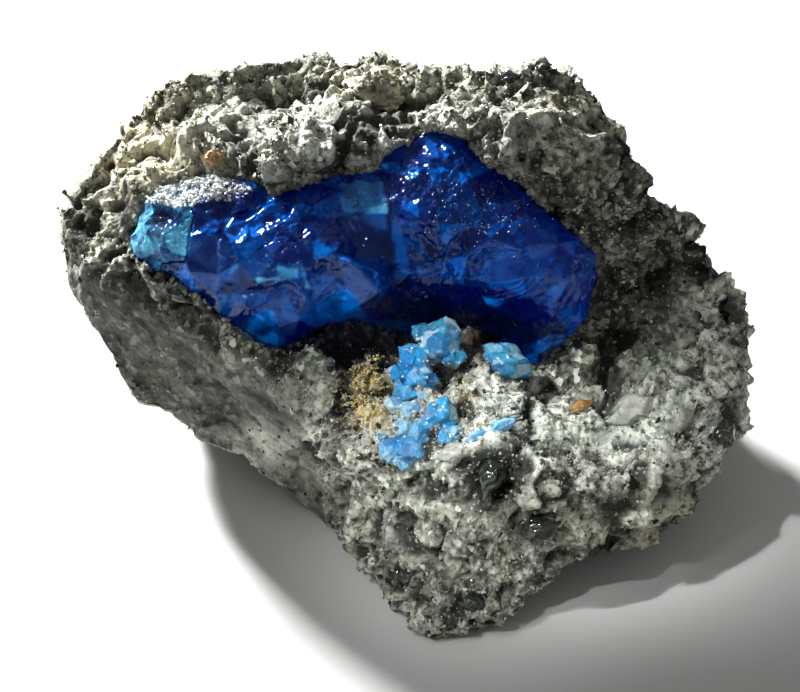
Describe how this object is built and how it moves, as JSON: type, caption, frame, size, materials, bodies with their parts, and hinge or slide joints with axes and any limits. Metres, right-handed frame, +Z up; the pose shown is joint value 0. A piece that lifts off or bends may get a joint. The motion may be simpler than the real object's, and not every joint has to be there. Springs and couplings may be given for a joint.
{
  "type": "hauyne crystal specimen",
  "caption": "Deep blue broken hauyne crystal set in a block of grey volcanic rock, with paler blue crystals on the ledge below it, lying on its flat underside.",
  "frame": {"origin": "on the ground under the middle of the specimen's box, which stands on the rock's flat underside", "axes": "+X to the right along the show face, the specimen's longest way; +Y to the back; +Z up"},
  "size_m": [0.0176, 0.0136, 0.0101],
  "materials": {
    "rock": "matte",
    "deep_hauyne": "gloss",
    "pale_hauyne": "gloss",
    "sanidine": "gloss",
    "augite": "gloss",
    "titanite": "gloss"
  },
  "bodies": {
    "root": {"matrix_rock": "rock", "hauyne_crystal": "deep_hauyne", "pale_hauyne_cluster": "pale_hauyne", "pale_hauyne_grain": "pale_hauyne", "pale_hauyne_flake": "pale_hauyne", "sanidine_nodule": "sanidine", "sanidine_on_shelf": "sanidine", "sanidine_at_back": "sanidine", "sanidine_on_nose": "sanidine", "augite_in_nose": "augite", "augite_under_nose": "augite", "augite_at_foot": "augite", "augite_on_top": "augite", "augite_at_right": "augite", "titanite_on_left": "titanite", "titanite_on_shelf": "titanite"}
  },
  "joints": []
}
